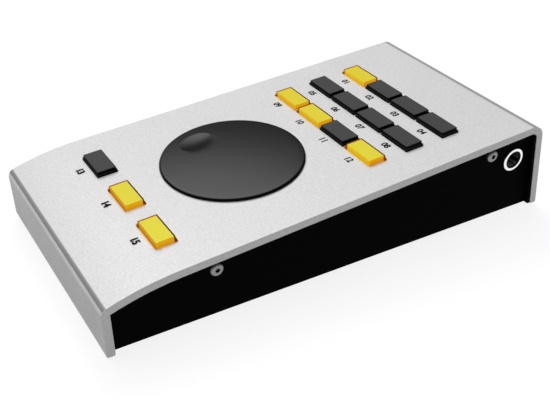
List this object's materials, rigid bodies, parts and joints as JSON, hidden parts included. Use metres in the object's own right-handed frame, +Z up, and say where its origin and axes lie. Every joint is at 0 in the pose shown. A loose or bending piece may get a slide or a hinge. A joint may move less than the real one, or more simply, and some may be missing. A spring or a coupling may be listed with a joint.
{
  "type": "studio monitor controller",
  "caption": "Desktop controller: bent aluminium shell over a black steel tray, a large domed turning dial with a finger dish, stepped push keys, a round jack socket and a square data socket.",
  "frame": {"origin": "on the desk, below the middle of the controller's bounding box", "axes": "+Z up; +Y towards the raised rear; +X towards the end with the jack socket"},
  "size_m": [0.11, 0.2206, 0.045],
  "materials": {
    "anodised_shell": "fine bead-blasted, silver anodised",
    "black_steel": "matte black powder coat",
    "rubber": "matte",
    "block_aluminium": "milled",
    "screw_steel": "satin",
    "circuit_board": "green solder mask",
    "black_plastic": "moulded",
    "contact_metal": "plated",
    "led_white": "clear lens",
    "dial_soft_touch": "soft-touch, smooth",
    "chrome_ring": "polished",
    "key_black_cap": "satin moulded",
    "key_amber_cap": "translucent amber",
    "key_dark_core": "moulded",
    "key_lit_core": "translucent, lit yellow from below"
  },
  "bodies": {
    "root": {"top_shell": "anodised_shell", "base_tray": "black_steel", "rubber_feet": "rubber", "shell_blocks": "block_aluminium", "side_screws": "screw_steel", "main_board": "circuit_board", "board_standoffs": "screw_steel", "board_screws": "screw_steel", "switch_bodies": "black_plastic", "switch_tabs": "contact_metal", "key_leds": "led_white", "controller_chip": "black_plastic", "encoder_body": "black_plastic", "encoder_bushing": "contact_metal", "jack_body": "black_plastic", "jack_ring": "chrome_ring", "jack_contacts": "contact_metal", "usb_shell": "screw_steel", "usb_insert": "black_plastic", "usb_contacts": "contact_metal"},
    "dial": {"dial": "dial_soft_touch", "dial_hub": "contact_metal", "encoder_shaft": "screw_steel"},
    "key_01": {"key_cap_01": "key_amber_cap", "key_core_01": "key_lit_core"},
    "key_02": {"key_cap_02": "key_black_cap", "key_core_02": "key_dark_core"},
    "key_03": {"key_cap_03": "key_black_cap", "key_core_03": "key_dark_core"},
    "key_04": {"key_cap_04": "key_black_cap", "key_core_04": "key_dark_core"},
    "key_05": {"key_cap_05": "key_black_cap", "key_core_05": "key_dark_core"},
    "key_06": {"key_cap_06": "key_black_cap", "key_core_06": "key_dark_core"},
    "key_07": {"key_cap_07": "key_black_cap", "key_core_07": "key_dark_core"},
    "key_08": {"key_cap_08": "key_black_cap", "key_core_08": "key_dark_core"},
    "key_09": {"key_cap_09": "key_amber_cap", "key_core_09": "key_lit_core"},
    "key_10": {"key_cap_10": "key_amber_cap", "key_core_10": "key_lit_core"},
    "key_11": {"key_cap_11": "key_black_cap", "key_core_11": "key_dark_core"},
    "key_12": {"key_cap_12": "key_amber_cap", "key_core_12": "key_lit_core"},
    "key_13": {"key_cap_13": "key_black_cap", "key_core_13": "key_dark_core"},
    "key_14": {"key_cap_14": "key_amber_cap", "key_core_14": "key_lit_core"},
    "key_15": {"key_cap_15": "key_amber_cap", "key_core_15": "key_lit_core"}
  },
  "joints": [
    {"name": "dial_turn", "type": "hinge", "parent": "root", "child": "dial", "pos_m": [0, -0.02632, 0.03773], "axis": [0, -0.0793, 0.9968], "continuous": true},
    {"name": "key_01_press", "type": "slide", "parent": "root", "child": "key_01", "axis": [0, 0.0793, -0.9968], "range_m": [0, 0.0008], "stiffness_N_per_m": 600, "springref_m": -0.0008},
    {"name": "key_02_press", "type": "slide", "parent": "root", "child": "key_02", "axis": [0, 0.0793, -0.9968], "range_m": [0, 0.0008], "stiffness_N_per_m": 600, "springref_m": -0.0008},
    {"name": "key_03_press", "type": "slide", "parent": "root", "child": "key_03", "axis": [0, 0.0793, -0.9968], "range_m": [0, 0.0008], "stiffness_N_per_m": 600, "springref_m": -0.0008},
    {"name": "key_04_press", "type": "slide", "parent": "root", "child": "key_04", "axis": [0, 0.0793, -0.9968], "range_m": [0, 0.0008], "stiffness_N_per_m": 600, "springref_m": -0.0008},
    {"name": "key_05_press", "type": "slide", "parent": "root", "child": "key_05", "axis": [0, 0.0793, -0.9968], "range_m": [0, 0.0008], "stiffness_N_per_m": 600, "springref_m": -0.0008},
    {"name": "key_06_press", "type": "slide", "parent": "root", "child": "key_06", "axis": [0, 0.0793, -0.9968], "range_m": [0, 0.0008], "stiffness_N_per_m": 600, "springref_m": -0.0008},
    {"name": "key_07_press", "type": "slide", "parent": "root", "child": "key_07", "axis": [0, 0.0793, -0.9968], "range_m": [0, 0.0008], "stiffness_N_per_m": 600, "springref_m": -0.0008},
    {"name": "key_08_press", "type": "slide", "parent": "root", "child": "key_08", "axis": [0, 0.0793, -0.9968], "range_m": [0, 0.0008], "stiffness_N_per_m": 600, "springref_m": -0.0008},
    {"name": "key_09_press", "type": "slide", "parent": "root", "child": "key_09", "axis": [0, 0.0793, -0.9968], "range_m": [0, 0.0008], "stiffness_N_per_m": 600, "springref_m": -0.0008},
    {"name": "key_10_press", "type": "slide", "parent": "root", "child": "key_10", "axis": [0, 0.0793, -0.9968], "range_m": [0, 0.0008], "stiffness_N_per_m": 600, "springref_m": -0.0008},
    {"name": "key_11_press", "type": "slide", "parent": "root", "child": "key_11", "axis": [0, 0.0793, -0.9968], "range_m": [0, 0.0008], "stiffness_N_per_m": 600, "springref_m": -0.0008},
    {"name": "key_12_press", "type": "slide", "parent": "root", "child": "key_12", "axis": [0, 0.0793, -0.9968], "range_m": [0, 0.0008], "stiffness_N_per_m": 600, "springref_m": -0.0008},
    {"name": "key_13_press", "type": "slide", "parent": "root", "child": "key_13", "axis": [0, 0.0793, -0.9968], "range_m": [0, 0.0008], "stiffness_N_per_m": 600, "springref_m": -0.0008},
    {"name": "key_14_press", "type": "slide", "parent": "root", "child": "key_14", "axis": [0, 0.0793, -0.9968], "range_m": [0, 0.0008], "stiffness_N_per_m": 600, "springref_m": -0.0008},
    {"name": "key_15_press", "type": "slide", "parent": "root", "child": "key_15", "axis": [0, 0.0793, -0.9968], "range_m": [0, 0.0008], "stiffness_N_per_m": 600, "springref_m": -0.0008}
  ]
}
